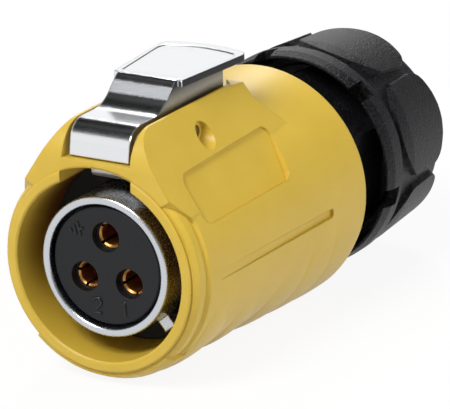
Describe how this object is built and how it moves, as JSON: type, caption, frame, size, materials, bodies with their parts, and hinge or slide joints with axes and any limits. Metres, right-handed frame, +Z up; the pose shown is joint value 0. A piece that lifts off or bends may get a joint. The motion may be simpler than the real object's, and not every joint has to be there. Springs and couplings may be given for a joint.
{
  "type": "locking power plug",
  "caption": "Round locking cable plug with a hood over socket contacts, a spring latch lever on top, a hexagonal rear body and a clamp nut for the cable.",
  "frame": {"origin": "centre of the hood's mouth, on the plug's axis", "axes": "+X along the plug towards the cable end, +Z up through the latch lever, +Y to the side"},
  "size_m": [0.0599, 0.0278, 0.0329],
  "materials": {
    "yellow_plastic": "satin moulded plastic",
    "black_plastic": "matte moulded plastic",
    "insert_plastic": "matte moulded plastic",
    "chrome_plate": "bright chrome plate",
    "spring_steel": "plain steel",
    "nickel_plate": "satin nickel plate",
    "gold_plate": "gold plate on brass",
    "seal_rubber": "matte rubber",
    "zinc_steel": "zinc plate"
  },
  "bodies": {
    "plug": {"housing": "yellow_plastic", "hood_seal": "seal_rubber", "latch_pin": "spring_steel", "latch_spring": "spring_steel", "contact_shell": "nickel_plate", "front_insulator": "insert_plastic", "rear_insulator": "insert_plastic", "insert_nut": "zinc_steel", "contact_1": "gold_plate", "contact_2": "gold_plate", "contact_earth": "gold_plate", "terminal_screw_1": "zinc_steel", "terminal_screw_2": "zinc_steel", "terminal_screw_earth": "zinc_steel", "rear_body": "black_plastic", "body_o_ring": "seal_rubber", "clamp_collet": "black_plastic", "cable_seal": "seal_rubber"},
    "latch": {"latch_lever": "chrome_plate"},
    "nut_travel_body": {"slip_washer": "zinc_steel"},
    "nut": {"clamp_nut": "black_plastic"}
  },
  "joints": [
    {"name": "latch_hinge", "type": "hinge", "parent": "plug", "child": "latch", "pos_m": [0.01255, 0, 0.01335], "axis": [0, 1, 0], "range_deg": [0, 9], "stiffness_Nm_per_rad": 0.15, "springref_deg": -11.46, "deforming": ["latch_spring"]},
    {"name": "nut_travel", "type": "slide", "parent": "plug", "child": "nut_travel_body", "axis": [1, 0, 0], "range_m": [0, 0.0045]},
    {"name": "nut_turn", "type": "hinge", "parent": "nut_travel_body", "child": "nut", "pos_m": [0.05, 0, 0], "axis": [1, 0, 0], "range_deg": [0, 1080]}
  ],
  "couplings": [
    {"joint": "nut_travel", "follows": "nut_turn", "m_per_rad": 0.00023873}
  ]
}
